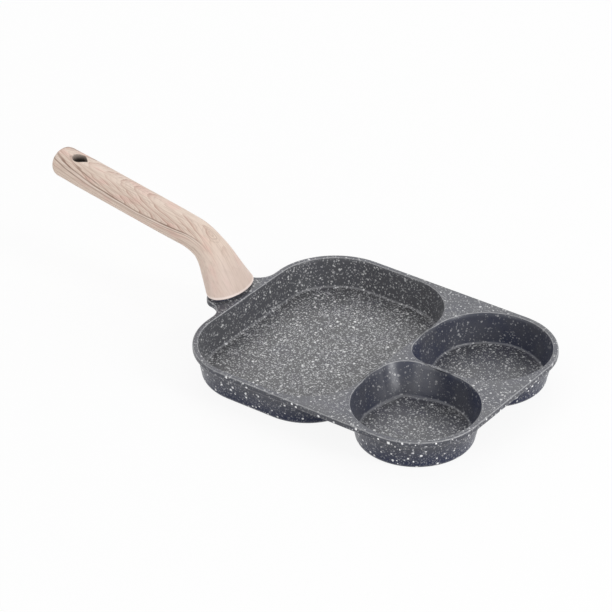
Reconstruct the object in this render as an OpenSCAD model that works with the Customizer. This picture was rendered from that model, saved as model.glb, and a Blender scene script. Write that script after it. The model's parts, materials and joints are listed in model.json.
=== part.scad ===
// Divided frying pan: one cast body with a large compartment and two round cups, and a bent handle.
// The origin is on the table, under the middle of the top plate. The cups lie towards +X, the handle towards -X.

/* [Plate] */
// Length of the top plate, without the handle
plate_l = 246; // [240:1:264]
// Width of the top plate
plate_w = 200; // [192:1:212]
// Thickness of the top plate at its edge
plate_t = 5; // [4:0.5:7]
// Radius of the plate's two corners on the handle side, seen from above
near_corner_r = 54.5; // [44:0.5:60]
// Rounding of the plate's edge, above and below
edge_round = 1.4; // [0.6:0.1:1.8]
// Width of the rim between the compartments and the plate's edge
rim_w = 4.2; // [3.4:0.1:6]

/* [Compartments] */
// Height of the pan from the table to the rim
pan_h = 27.8; // [24:0.2:40]
// Thickness of the three floors
floor_t = 3.5; // [2.5:0.1:5]
// Thickness of the leaning walls below the plate
wall_t = 2.2; // [1.8:0.1:3]
// Length of each cup along the pan
cup_l = 96.1; // [90:0.1:102]
// Radius of each cup's corner at the middle of the pan, at the rim
cup_inner_r = 22; // [12:1:36]
// How far a cup's wall leans inwards from rim to floor
cup_lean = 5.2; // [3:0.1:7]
// How far a cup's round floor is drawn out under that corner, where the wall has a crease
crease_out = 5; // [0:0.5:7]
// Radius of the crease at the floor
crease_r = 5; // [3:0.5:12]
// How far the large compartment's wall leans inwards from rim to floor
large_lean = 4.6; // [3:0.1:7]
// Radius of the large compartment's two corners next to the cups, at the rim
large_far_r = 46.5; // [36:0.5:52]
// Width of the ridge between the large compartment and the cups
ridge_w = 2.5; // [2.2:0.1:5]
// Width of the ridge between the two cups
cup_ridge_w = 2.2; // [2:0.1:5]
// Rounding where a wall meets its floor inside
floor_round = 2.4; // [1:0.2:4]
// Rounding of the pan's outer bottom edges
base_round = 5; // [3:0.5:7]
// Rounding of the compartments' top edges
lip_round = 0.9; // [0.5:0.1:1]

/* [Handle tab] */
// Thickness of the tab that carries the handle
tab_t = 5; // [4.5:0.5:8]
// Radius of the hollow curves that join the tab to the plate
tab_fillet_r = 16; // [8:1:20]
// Height of the raised pad that the handle stands on
pad_h = 3.4; // [2.8:0.2:5]
// How far the pad's outline lies inside the handle's foot
pad_inset = 3; // [2.4:0.2:4]

/* [Handle] */
// Distance from the plate's edge to the middle of the handle's foot
foot_reach = 12.6; // [11:0.2:16]
// Width of the handle's foot, across the pan
foot_w = 48.8; // [42:0.2:54]
// Length of the handle's foot, along the pan
foot_l = 27.2; // [25:0.2:30]
// Gap between the foot's outer edge and the tab
foot_gap = 2.5; // [1.6:0.1:2.6]
// Bevel round the bottom of the foot
foot_bevel = 0.8; // [0.4:0.1:1.2]
// Angle at which the neck rises from the foot
neck_angle = 58; // [50:1:62]
// Length of the neck's straight part
neck_l = 21.4; // [18:0.2:32]
// Radius of the bend between neck and grip
bend_r = 40; // [34:1:60]
// Width of the neck where it is narrowest
neck_w = 27.8; // [24:0.2:32]
// Angle at which the grip rises
grip_angle = 9.6; // [4:0.2:20]
// Length of the straight grip, from the bend to the tip
grip_l = 130; // [110:0.5:150]
// Width of the grip
grip_w = 29.8; // [26:0.2:34]
// Thickness of the neck and the grip
grip_t = 22; // [20:0.2:26]
// Length of the rounding at the tip
tip_l = 6; // [4:0.2:9]
// How far the tip's end leans, its top further out than its underside
tip_angle = 19; // [0:1:24]
// Radius of the hanging hole's round end
hang_r = 5.4; // [4:0.1:6.5]
// Distance from the tip to the middle of the hole's round end
hang_from_tip = 17.8; // [16:0.2:24]
// Distance from there to the hole's point, on the pan's side
hang_point = 8.2; // [7:0.2:12]

/* [Fastening] */
// Outside diameter of the screw's thread
screw_d = 5; // [4:0.5:5]
// How far the screw goes into the threaded insert
screw_bite = 7.6; // [5:0.2:8]
// Diameter of the screw's head
screw_head_d = 9.4; // [8.6:0.2:10]
// Height of the screw's head
screw_head_h = 3.2; // [2.4:0.2:4]
// How far the screw stands from the foot's middle, away from the pan
screw_back = 2.6; // [1.6:0.2:3.2]
// Diameter of the sunk seat for the screw's head and washers
seat_d = 12; // [11.4:0.2:13]
// Depth of that seat in the underside of the tab
seat_depth = 3.4; // [2:0.2:4]
// Outside diameter of the flat washer
washer_d = 10; // [9.4:0.2:11]
// Thickness of the flat washer
washer_t = 1; // [0.8:0.1:1.4]
// Outside diameter of the split lock washer
lock_d = 8.8; // [8.2:0.2:9.2]
// Thickness of the split lock washer
lock_t = 1.3; // [1:0.1:1.6]
// Outside diameter of the threaded insert in the handle
insert_d = 8; // [7.4:0.2:8.4]
// Length of the threaded insert
insert_l = 10; // [9.6:0.2:11]
// Thickness of the insert's closed end
insert_end = 1.2; // [0.8:0.1:1.4]
// Clearance between the screw and the insert's bore, on the diameter
thread_clear = 0.1; // [0.05:0.05:0.2]
// Clearance round the screw in the tab and the washers, on the diameter
hole_clear = 0.5; // [0.3:0.1:0.8]
// Clearance between the pad and the hollow in the foot that sits over it
pad_clear = 0.3; // [0.2:0.05:0.5]

/* [Hidden] */
$fn = 96;

coating = "dimgray";
wood_look = "burlywood";
steel = "silver";
brass = "goldenrod";

// Where the compartments lie
half_l = plate_l / 2;
half_w = plate_w / 2;
cup_x1 = half_l - rim_w;
cup_x0 = cup_x1 - cup_l;
cup_y0 = cup_ridge_w / 2;
cup_y1 = half_w - rim_w;
cup_r = min(cup_l, cup_y1 - cup_y0) / 2;
cup_mid = [(cup_x0 + cup_x1) / 2, (cup_y0 + cup_y1) / 2];
corner_way = [cup_x0, cup_y0] + cup_inner_r * [1, 1] - cup_mid;
large_x0 = -half_l + rim_w;
large_x1 = cup_x0 - ridge_w;
large_near_r = near_corner_r - rim_w;
depth = pan_h - floor_t;
plate_z = pan_h - plate_t;
far_corner_r = cup_r + rim_w;

// Where the handle and its fastening lie
foot_x = -half_l - foot_reach;
foot_z = pan_h + foot_gap;
pad_z = pan_h + pad_h;
tab_z = pan_h - tab_t;
tab_root = -half_l + edge_round;
screw_x = foot_x - screw_back;
seat_z = tab_z + seat_depth;
washer_z = seat_z - washer_t;
lock_z = washer_z - lock_t;
bend_sweep = neck_angle - grip_angle;
bend_l = PI * bend_r * bend_sweep / 180;
handle_l = neck_l + bend_l + grip_l;

// Shares of the bend at which the sections stand square, and at which the neck is narrowest
turn_share = 0.62;
waist_share = 0.45;
turn_l = neck_l + turn_share * bend_l;
flare_l = neck_l + waist_share * bend_l;

// How quickly the foot's flare ends, and how blunt the tip is
flare_power = 1.26;
tip_power = 2.5;

// Where the sections start to lean towards the tip, and over what length they do so
slant_from = 35;
slant_over = 25;

// Straight pieces in the handle's rings, in the cups' rounds and in the tab's curves
ring_n = 36;
cup_fn = 48;
tab_n = 40;
tab_curve_n = 10;
small = 0.01;

// A smooth step from 0 to 1 as t goes from 0 to 1, and a value between a and b
function ease(t) = let (u = min(max(t, 0), 1)) u * u * (3 - 2 * u);
function mix(a, b, t) = a + (b - a) * t;

// Points of a quarter round from angle a to angle b about [x, z]
function arc(x, z, r, a, b, steps = 5) =
    [for (i = [0 : steps]) let (t = a + (b - a) * i / steps) [x + r * cos(t), z + r * sin(t)]];

// The same section on both sides of its middle line
function both_sides(half) =
    concat(half, [for (i = [len(half) - 2 : -1 : 1]) [-half[i].x, half[i].y]]);

// Section of the plate, from its middle to an edge that lies reach away
function plate_section(reach) = concat(
    [[0, plate_z]],
    arc(reach - edge_round, plate_z + edge_round, edge_round, -90, 0, 3),
    arc(reach - edge_round, pan_h - edge_round, edge_round, 0, 90, 3),
    [[0, pan_h]]);

// How far a wall has come inwards at height z
function lean_at(z, lean) = lean * (pan_h - z) / depth;

// Section of a bowl's outside, from its middle to a rim that lies reach away
function bowl_section(reach, lean) = concat(
    [[0, 0]],
    arc(reach + wall_t - lean_at(base_round, lean) - base_round, base_round, base_round, -90, 0),
    [[reach + wall_t - lean_at(plate_z + 1, lean), plate_z + 1], [0, plate_z + 1]]);

// Section of a compartment's hollow, from its middle to a rim that lies reach away
function hollow_section(reach, lean) = concat(
    [[0, floor_t]],
    arc(reach - lean_at(floor_t + floor_round, lean) - floor_round, floor_t + floor_round, floor_round, -90, 0),
    [for (p = arc(0, 0, lip_round, 180, 90, 3)) [reach + lip_round + p.x, pan_h - lip_round + p.y]],
    [[reach + lip_round, pan_h + 1], [0, pan_h + 1]]);

// A section carried round a rounded rectangle: round posts at the corners and straight bars between them
module carried(x0, x1, half_width, near_r, far_r, section) {
    mid = (x0 + x1) / 2;
    for (side = [-1, 1]) {
        translate([x0 + near_r, side * (half_width - near_r), 0]) rotate_extrude() polygon(section(near_r));
        translate([x1 - far_r, side * (half_width - far_r), 0]) rotate_extrude() polygon(section(far_r));
    }
    translate([x0 + near_r, 0, 0]) rotate([90, 0, 90])
        linear_extrude(x1 - far_r - x0 - near_r) polygon(both_sides(section(half_width)));
    translate([mid, 0, 0]) rotate([90, 0, 180])
        linear_extrude(2 * (half_width - near_r), center = true) polygon(section(mid - x0));
    translate([mid, 0, 0]) rotate([90, 0, 0])
        linear_extrude(2 * (half_width - far_r), center = true) polygon(section(x1 - mid));
}

// The round parts of one cup's outline at the rim, grown outwards by grow; a hull around them is the outline
module cup_rounds(grow) {
    translate([cup_x0 + cup_inner_r, cup_y0 + cup_inner_r]) circle(cup_inner_r + grow, $fn = cup_fn);
    for (p = [[cup_x0, cup_y1, 1, -1], [cup_x1, cup_y1, -1, -1], [cup_x1, cup_y0, -1, 1]])
        translate([p[0] + p[2] * cup_r, p[1] + p[3] * cup_r]) circle(cup_r + grow, $fn = cup_fn);
}

// A round disc with one rounded lower edge, shifted from a cup's middle towards its inner corner
module cup_disc(radius, shift, z, round) {
    translate([cup_mid.x, cup_mid.y, z]) rotate(atan2(corner_way.y, corner_way.x)) translate([shift, 0, 0])
        rotate_extrude($fn = cup_fn)
            polygon(concat([[0, 0]], arc(radius - round, round, round, -90, 0, 4), [[0, round]]));
}

// One cup's floor or base, grown outwards by grow: the round disc, and the small one that draws out the crease
module cup_base(grow, z, round) {
    cup_disc(cup_r - cup_lean + grow, 0, z, round);
    cup_disc(crease_r + grow, cup_r - cup_lean + crease_out - crease_r, z, round);
}

// One cup's outside: its squared rim outline narrows to a round base
module cup_bowl() {
    hull() {
        translate([0, 0, plate_z]) linear_extrude(1) cup_rounds(wall_t - lean_at(plate_z, cup_lean));
        cup_base(wall_t, 0, base_round);
    }
}

// One cup's hollow, with the bevelled edge at its top
module cup_hollow() {
    hull() {
        translate([0, 0, pan_h - lip_round]) linear_extrude(small) cup_rounds(0);
        cup_base(0, floor_t, floor_round);
    }
    hull() {
        translate([0, 0, pan_h - lip_round]) linear_extrude(small) cup_rounds(0);
        translate([0, 0, pan_h]) linear_extrude(1) cup_rounds(lip_round);
    }
}

// The oval of the handle's foot, or one like it that lies inset further in
module foot_oval(inset) {
    polygon([for (i = [0 : tab_n - 1]) let (u = 360 * i / tab_n)
        [(foot_l / 2 - inset) * cos(u), (foot_w / 2 - inset) * sin(u)]]);
}

// A point of the foot's oval at angle u, moved inwards by inset, and the way it faces
function oval_facing(u) = let (n = [foot_w * cos(u), foot_l * sin(u)]) n / norm(n);
function oval_point(u, inset) = [foot_x + foot_l / 2 * cos(u), foot_w / 2 * sin(u)] - inset * oval_facing(u);

// Angle at which a hollow curve between the plate's edge and the oval touches the oval, found by halving
function touch_angle(a, b, n = 30) = let (m = (a + b) / 2)
    n == 0 ? m :
    oval_point(m, -tab_fillet_r).x > tab_root - tab_fillet_r ? touch_angle(m, b, n - 1) : touch_angle(a, m, n - 1);

// Outline of the tab: a hollow curve from the plate, the foot's oval and the other hollow curve
module tab_outline() {
    u0 = touch_angle(0, 180);
    c = oval_point(u0, -tab_fillet_r);
    f = oval_facing(u0);
    turn = atan2(-f.y, -f.x);
    inner = tab_root + rim_w / 2;
    curve = [for (i = [0 : tab_curve_n]) let (t = turn * i / tab_curve_n) c + tab_fillet_r * [cos(t), sin(t)]];
    oval = [for (i = [1 : tab_n - 1]) oval_point(mix(u0, 360 - u0, i / tab_n), 0)];
    back = [for (i = [tab_curve_n : -1 : 0]) [curve[i].x, -curve[i].y]];
    polygon(concat([[inner, c.y]], curve, oval, back, [[inner, -c.y]]));
}

// The cast body: plate, bowls and tab, less the hollows and the screw's hole
module pan_body() {
    color(coating) difference() {
        union() {
            carried(-half_l, half_l, half_w, near_corner_r, far_corner_r,
                function (reach) plate_section(reach));
            carried(large_x0, large_x1, cup_y1, large_near_r, large_far_r,
                function (reach) bowl_section(reach, large_lean));
            for (side = [0, 1]) mirror([0, side, 0]) cup_bowl();
            translate([0, 0, tab_z]) linear_extrude(tab_t) tab_outline();
            translate([foot_x, 0, tab_z]) linear_extrude(pad_z - tab_z) foot_oval(pad_inset);
        }
        carried(large_x0, large_x1, cup_y1, large_near_r, large_far_r,
            function (reach) hollow_section(reach, large_lean));
        for (side = [0, 1]) mirror([0, side, 0]) cup_hollow();
        translate([screw_x, 0, tab_z - 1]) cylinder(h = pad_z - tab_z + 2, d = screw_d + hole_clear);
        translate([screw_x, 0, tab_z - 1]) cylinder(h = seat_depth + 1, d = seat_d);
    }
}

// The handle's middle line, in the XZ plane, at length s from the foot
neck_end = [foot_x - neck_l * cos(neck_angle), foot_z + neck_l * sin(neck_angle)];
bend_mid = neck_end - bend_r * [sin(neck_angle), cos(neck_angle)];
grip_start = bend_mid + bend_r * [sin(grip_angle), cos(grip_angle)];
function heading(s) = neck_angle - bend_sweep * min(max((s - neck_l) / bend_l, 0), 1);
function middle(s) =
    s < neck_l ? [foot_x - s * cos(neck_angle), foot_z + s * sin(neck_angle)] :
    s < neck_l + bend_l ? bend_mid + bend_r * [sin(heading(s)), cos(heading(s))] :
    grip_start + (s - neck_l - bend_l) * [-cos(grip_angle), sin(grip_angle)];

// The handle's sections turn from level at the foot to square across the grip, and lean at the tip
function tilt(s) = mix(90, heading(s), ease(s / turn_l))
    - tip_angle * ease((s - handle_l + slant_from) / slant_over);
function half_width(s) =
    s < flare_l ? mix(foot_w, neck_w, 1 - pow(1 - s / flare_l, flare_power)) / 2 :
    mix(neck_w, grip_w, ease((s - flare_l) / turn_l)) / 2;
function half_thick(s) = mix(foot_l, grip_t, ease(s / turn_l)) / 2;

// One oval ring of the handle's skin, made smaller by scale k and inset
function ring(s, k = 1, inset = 0) = let (c = middle(s), t = tilt(s))
    [for (i = [0 : ring_n - 1])
        let (u = 360 * i / ring_n, d = (half_thick(s) * k - inset) * cos(u))
        [c.x + d * sin(t), (half_width(s) * k - inset) * sin(u), c.y + d * cos(t)]];

// A skin over rings of points, each with as many points as the others
module skin(rings) {
    n = len(rings[0]);
    last = len(rings) - 1;
    polyhedron(
        points = [for (r = rings) for (p = r) p],
        faces = concat(
            [[for (i = [0 : n - 1]) i]],
            [for (j = [0 : last - 1]) for (i = [0 : n - 1]) let (k = (i + 1) % n)
                each [[j * n + i, (j + 1) * n + i, (j + 1) * n + k],
                      [j * n + i, (j + 1) * n + k, j * n + k]]],
            [[for (i = [n - 1 : -1 : 0]) last * n + i]]));
}

// The handle without its holes: a skin over all the rings, from the foot's bevel to the rounded tip
module handle_skin() {
    bend_steps = 14;
    grip_steps = 4;
    lean_steps = 6;
    tip_steps = 7;
    dome_angle = 86;
    past_bend = 1.6;
    bend_end = neck_l + past_bend * bend_l;
    lean_start = handle_l - slant_from;
    tip_start = handle_l - tip_l;
    bevel_s = foot_bevel / sin(neck_angle);
    skin(concat(
        [ring(0, 1, foot_bevel)],
        [for (i = [0 : bend_steps]) ring(mix(bevel_s, bend_end, i / bend_steps))],
        [for (i = [1 : grip_steps]) ring(mix(bend_end, lean_start, i / grip_steps))],
        [for (i = [1 : lean_steps]) ring(mix(lean_start, tip_start, i / lean_steps))],
        [for (i = [1 : tip_steps]) let (a = dome_angle * i / tip_steps)
            ring(tip_start + tip_l * pow(sin(a), 2 / tip_power), pow(cos(a), 2 / tip_power))]));
}

// Drop-shaped hanging hole: round towards the tip, pointed towards the pan
module hanging_hole() {
    c = middle(handle_l - hang_from_tip);
    a = acos(hang_r / hang_point);
    translate([c.x, 0, c.y]) rotate([0, grip_angle, 0])
        linear_extrude(2 * grip_t, center = true) {
            circle(hang_r);
            polygon([[0, 0], hang_r * [cos(a), -sin(a)], [hang_point, 0], hang_r * [cos(a), sin(a)]]);
        }
}

// Outside of the threaded insert: two gripping bands with a waist between them
module insert_form() {
    band_share = 0.4;
    groove = 0.5;
    band = insert_l * band_share;
    translate([screw_x, 0, pad_z]) {
        cylinder(h = band, d = insert_d);
        cylinder(h = insert_l, d = insert_d - 2 * groove);
        translate([0, 0, insert_l - band]) cylinder(h = band, d = insert_d);
    }
}

module handle() {
    color(wood_look) difference() {
        handle_skin();
        hanging_hole();
        translate([foot_x, 0, foot_z - 1]) linear_extrude(pad_z - foot_z + 1) foot_oval(pad_inset - pad_clear);
        insert_form();
    }
}

module threaded_insert() {
    color(brass) difference() {
        insert_form();
        translate([screw_x, 0, pad_z - 1]) cylinder(h = insert_l - insert_end + 1, d = screw_d + thread_clear);
    }
}

// Machine screw with a rounded head and a cross recess, standing head down
module handle_screw() {
    r = screw_head_d / 2;
    rim_share = 0.4;
    rim_h = screw_head_h * rim_share;
    dome_h = screw_head_h - rim_h;
    slot = screw_d / 5;
    color(steel) difference() {
        translate([screw_x, 0, lock_z]) {
            cylinder(h = pad_z - lock_z + screw_bite, d = screw_d);
            mirror([0, 0, 1]) rotate_extrude()
                polygon(concat([[0, 0], [r, 0], [r, rim_h]],
                    arc(r - dome_h, rim_h, dome_h, 15, 90, 5),
                    [[0, screw_head_h]]));
        }
        for (turn = [0, 90])
            translate([screw_x, 0, lock_z - screw_head_h]) rotate([0, 0, turn])
                cube([screw_d, slot, screw_head_h], center = true);
    }
}

// Split spring washer, pressed flat
module lock_washer() {
    split_w = 0.6;
    split_angle = 30;
    color(steel) translate([screw_x, 0, lock_z]) difference() {
        cylinder(h = lock_t, d = lock_d);
        translate([0, 0, -1]) cylinder(h = lock_t + 2, d = screw_d + hole_clear);
        translate([0, lock_d / 2, lock_t / 2]) rotate([0, split_angle, 0])
            cube([split_w, lock_d, 3 * lock_t], center = true);
    }
}

module flat_washer() {
    color(steel) translate([screw_x, 0, washer_z]) difference() {
        cylinder(h = washer_t, d = washer_d);
        translate([0, 0, -1]) cylinder(h = washer_t + 2, d = screw_d + hole_clear);
    }
}

pan_body();
handle();
threaded_insert();
handle_screw();
lock_washer();
flat_washer();
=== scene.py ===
# %% [markdown]
# # A divided frying pan
# The object is a cast pan for one burner: a plate with a large hollow and two round cups, under a dark
# coating full of pale specks. A bent handle with a beech look stands on a tab at the plate's edge.
# The lesson builds the two pieces that everyone sees, the cast body and the handle, as fine meshes.
# The small brass and steel pieces under the tab keep the exact meshes that come with the frame.

# %% Load the frame and remember its box
import json
import math
import bpy
import bmesh
import numpy as np
from mathutils import Matrix, Vector

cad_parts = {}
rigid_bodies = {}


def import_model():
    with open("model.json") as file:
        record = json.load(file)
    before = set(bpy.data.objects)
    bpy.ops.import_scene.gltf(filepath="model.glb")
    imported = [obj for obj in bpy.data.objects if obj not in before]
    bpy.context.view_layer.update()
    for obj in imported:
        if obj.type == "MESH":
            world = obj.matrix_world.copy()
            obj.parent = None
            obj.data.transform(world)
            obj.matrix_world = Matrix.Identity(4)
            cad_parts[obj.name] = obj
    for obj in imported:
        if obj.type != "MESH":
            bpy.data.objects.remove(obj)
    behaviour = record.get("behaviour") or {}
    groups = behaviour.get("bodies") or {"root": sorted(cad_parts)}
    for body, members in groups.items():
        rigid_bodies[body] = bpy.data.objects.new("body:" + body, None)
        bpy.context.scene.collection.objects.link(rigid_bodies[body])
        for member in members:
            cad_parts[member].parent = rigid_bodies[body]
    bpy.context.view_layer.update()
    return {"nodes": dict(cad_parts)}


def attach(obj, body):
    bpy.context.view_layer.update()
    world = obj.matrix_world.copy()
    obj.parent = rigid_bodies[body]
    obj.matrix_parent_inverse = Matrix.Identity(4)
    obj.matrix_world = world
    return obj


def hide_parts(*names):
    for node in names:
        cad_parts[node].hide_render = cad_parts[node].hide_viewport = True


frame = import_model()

nodes = frame["nodes"]
MM = 0.001

# %% [markdown]
# ## The camera
# The photograph was taken from far away with a long lens, from the front right and 31 degrees above the
# table. The numbers come from laying the pan's outline over it. A camera could also be aimed with a Track
# To constraint, but a rotation built from three directions states the small roll too.

# %% Place the camera
PICTURE, SENSOR_MM = 612, 36
azimuth, elevation, roll = math.radians(36.22), math.radians(31.47), math.radians(-0.15)
distance, focal_px = 2441.85 * MM, 3163.98
target = Vector((-86.08, 30.81, 15.0)) * MM

back = Vector((
    math.sin(azimuth) * math.cos(elevation),
    -math.cos(azimuth) * math.cos(elevation),
    math.sin(elevation)))
level_right = Vector((math.cos(azimuth), math.sin(azimuth), 0))
level_up = back.cross(level_right)
right = level_right * math.cos(roll) + level_up * math.sin(roll)
up = level_up * math.cos(roll) - level_right * math.sin(roll)


def new_object(name, data):
    """A new object, put into the scene."""
    thing = bpy.data.objects.new(name, data)
    bpy.context.scene.collection.objects.link(thing)
    return thing


camera = new_object("camera", bpy.data.cameras.new("camera"))
camera.data.sensor_width = SENSOR_MM
camera.data.lens = focal_px / PICTURE * SENSOR_MM
camera.data.clip_start, camera.data.clip_end = 0.05, 50
turned = Matrix((right, up, back)).transposed().to_4x4()
camera.matrix_world = Matrix.Translation(target + back * distance) @ turned
bpy.context.scene.camera = camera
print("camera at", [round(v, 3) for v in camera.matrix_world.translation], "lens", round(camera.data.lens, 1))

# %% [markdown]
# ## Floor and light
# A product picture is lit by white walls and a few large soft lamps. The world gives the even part. A wide
# lamp above and behind makes the pan's flat floors lighter than its walls. Two soft boxes, on the right and
# in front, draw the upright light streaks in the corners of the cups. The floor is a white sheet. For the
# camera it glows a little, which keeps the ground white and the pan's shadow faint.

# %% Light the room
WORLD_LIGHT = 0.56
PAN_MIDDLE = (0.03, 0, 0.02)


def area_lamp(name, place, aim, size, power):
    """A soft rectangular lamp at place, turned towards aim; lengths in metres, power in watts."""
    lamp = new_object(name, bpy.data.lights.new(name, "AREA"))
    lamp.data.shape, lamp.data.energy = "RECTANGLE", power
    lamp.data.size, lamp.data.size_y = size
    lamp.location, lamp.rotation_mode = place, "QUATERNION"
    lamp.rotation_quaternion = (Vector(aim) - Vector(place)).to_track_quat("-Z", "Y")


def tools(tree):
    """For a node tree, a function that adds a node and one that sets or links a node's inputs."""
    def connect(node, inputs):
        for key, value in inputs.items():
            if isinstance(value, bpy.types.NodeSocket):
                tree.links.new(value, node.inputs[key])
            else:
                node.inputs[key].default_value = value
        return node

    def add(kind, inputs=None, **settings):
        node = tree.nodes.new("ShaderNode" + kind)
        for key, value in settings.items():
            setattr(node, key, value)
        return connect(node, inputs or {})
    return add, connect


def seen_directly(add):
    """1 for rays that come from the camera, also by way of a reflection or through glass, and else 0."""
    rays = add("LightPath").outputs
    seen = rays["Is Camera Ray"]
    for kind in ("Is Glossy Ray", "Is Transmission Ray"):
        seen = add("Math", {0: seen, 1: rays[kind]}, operation="ADD", use_clamp=True).outputs[0]
    return seen


world = bpy.data.worlds.new("studio")
bpy.context.scene.world = world
world.use_nodes = True
add, connect = tools(world.node_tree)
level = add("MapRange", {"Value": seen_directly(add), "To Min": WORLD_LIGHT, "To Max": 1.0})
sky = world.node_tree.nodes["Background"]
connect(sky, {"Color": (1, 1, 1, 1), "Strength": level.outputs["Result"]})

area_lamp("lamp_above", place=(-0.75, 1.05, 1.25), aim=(0, 0, 0), size=(1.4, 1.1), power=7)
area_lamp("softbox_right", place=(1.6, 0.1, 0.75), aim=PAN_MIDDLE, size=(0.45, 0.8), power=14)
area_lamp("softbox_front", place=(-0.3, -1.6, 0.75), aim=PAN_MIDDLE, size=(0.7, 0.8), power=5)
bpy.context.scene.view_settings.view_transform = "Standard"

# %% Lay the floor
FLOOR_HALF, FLOOR_GLOW = 9, 0.9
FLOOR_TONES = (0.93, 0.93, 0.93, 1), (0.97, 0.97, 0.97, 1)


def material(name):
    """A new node material, its shader, and its two tools."""
    mat = bpy.data.materials.new(name)
    mat.use_nodes = True
    return mat, mat.node_tree.nodes["Principled BSDF"], *tools(mat.node_tree)


def mix(add, factor, a, b, kind="RGBA"):
    """a where the factor is 0 and b where it is 1, as colours, or as numbers with the kind FLOAT."""
    return add("Mix", {"Factor": factor, "A": a, "B": b}, data_type=kind).outputs["Result"]


floor_corners = [(x * FLOOR_HALF, y * FLOOR_HALF, 0) for x, y in ((-1, -1), (1, -1), (1, 1), (-1, 1))]
floor_mesh = bpy.data.meshes.new("floor")
floor_mesh.from_pydata(floor_corners, [], [(0, 1, 2, 3)])
floor = new_object("floor", floor_mesh)
floor_white, shader, add, connect = material("floor_white")
grain = add("TexNoise", {"Scale": 900.0, "Detail": 2.0}).outputs["Fac"]
connect(shader, {
    "Base Color": mix(add, grain, *FLOOR_TONES), "Roughness": 0.85, "Specular IOR Level": 0.1})
glow = add("Emission", {"Color": (1, 1, 1, 1), "Strength": 1.0})
share = add("Math", {0: seen_directly(add), 1: FLOOR_GLOW}, operation="MULTIPLY")
both = add("MixShader", {0: share.outputs[0], 1: shader.outputs[0], 2: glow.outputs[0]})
connect(floor_white.node_tree.nodes["Material Output"], {"Surface": both.outputs[0]})
floor_mesh.materials.append(floor_white)
print("floor spans", floor.dimensions[:2])

# %% [markdown]
# ## The pan's sizes
# The cast body follows from a few sizes in millimetres. The plate and its tab share one outline, so it is
# drawn once, as points with the direction that each point faces. Moving the points against that direction
# gives any inner outline.

# %% State the body's sizes
half_l, half_w, pan_h, plate_t = 123.0, 100.0, 27.8, 5.0
rim_w, floor_t, wall_t = 4.2, 3.5, 2.2
near_corner_r, edge_round, lip_round = 54.5, 1.4, 0.9
cup_l, cup_inner_r, cup_lean = 96.1, 22.0, 5.2
crease_out, crease_r = 5.0, 5.0
large_lean, large_far_r = 4.6, 46.5
ridge_w, cup_ridge_w = 2.5, 2.2
floor_round, base_round = 2.4, 5.0
foot_reach, foot_w, foot_l, foot_gap = 12.6, 48.8, 27.2, 2.5
pad_h, pad_inset = 3.4, 3.0

plate_z, depth = pan_h - plate_t, pan_h - floor_t
cup_x1 = half_l - rim_w
cup_x0 = cup_x1 - cup_l
cup_y0, cup_y1 = cup_ridge_w / 2, half_w - rim_w
cup_r = min(cup_l, cup_y1 - cup_y0) / 2
cup_mid = np.array([(cup_x0 + cup_x1) / 2, (cup_y0 + cup_y1) / 2])
large_x0, large_x1 = -half_l + rim_w, cup_x0 - ridge_w
foot_x, foot_z, pad_z = -half_l - foot_reach, pan_h + foot_gap, pan_h + pad_h
print("cup radius", cup_r, "large hollow from", large_x0, "to", round(large_x1, 1))

# %% Draw outlines as points that know which way they face
def corner(x, y, r, a, b, steps):
    """Points of an arc about (x, y) from angle a to b in degrees, each with the way it faces."""
    t = np.radians(np.linspace(a, b, steps + 1))
    facing = np.stack([np.cos(t), np.sin(t)], 1)
    return np.array([x, y]) + r * facing, facing


def side(start, end, facing, steps):
    """Points inside a straight side, without its ends."""
    t = np.linspace(0, 1, steps + 1)[1:-1, None]
    line = np.array(start) * (1 - t) + np.array(end) * t
    return line, np.tile(facing, (len(line), 1))


def join(*pieces):
    """Several stretches of an outline as one."""
    return np.concatenate([p[0] for p in pieces]), np.concatenate([p[1] for p in pieces])


FLIP = np.array([1, -1])


def mirrored(piece):
    """The same stretch on the front side, in running order."""
    return piece[0][::-1] * FLIP, piece[1][::-1] * FLIP


def block_half(x0, x1, half, near_r, far_r, arc_steps, top_steps):
    """A rounded rectangle's far edge, and its outline from the far back corner to the near one."""
    edge = side((x1, far_r - half), (x1, half - far_r), (1, 0), steps=12)
    far = corner(x1 - far_r, half - far_r, far_r, 0, 90, arc_steps)
    top = side((x1 - far_r, half), (x0 + near_r, half), (0, 1), top_steps)
    near = corner(x0 + near_r, half - near_r, near_r, 90, 180, arc_steps)
    return edge, join(far, top, near)


large_near_r = near_corner_r - rim_w
edge, upper = block_half(large_x0, large_x1, cup_y1, large_near_r, large_far_r, arc_steps=22, top_steps=14)
rear_y = cup_y1 - large_near_r
rear = side((large_x0, rear_y), (large_x0, -rear_y), (-1, 0), steps=12)
large_rim = join(edge, upper, rear, mirrored(upper))
print("outline of the large hollow:", len(large_rim[0]), "points")

# %% [markdown]
# ## The plate's outline, with the tab for the handle
# On the handle's side the plate runs out into a short tab. Its end is the same oval as the handle's foot,
# and two hollow curves lead into it. Such a curve is a circle that touches both the plate's edge and the
# oval. The place where it touches is found by halving an interval, which needs no algebra.

# %% Draw the plate and its tab as one outline
tab_curve_r = 15.0
HALVINGS = 40


def oval(u, inset=0.0):
    """A point of the foot's oval at angle u in degrees, moved inwards, and the way it faces."""
    u = np.radians(u)
    facing = np.stack([foot_w * np.cos(u), foot_l * np.sin(u)], -1)
    facing = facing / np.linalg.norm(facing, axis=-1, keepdims=True)
    place = np.stack([foot_x + foot_l / 2 * np.cos(u), foot_w / 2 * np.sin(u)], -1)
    return place - inset * facing, facing


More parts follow.
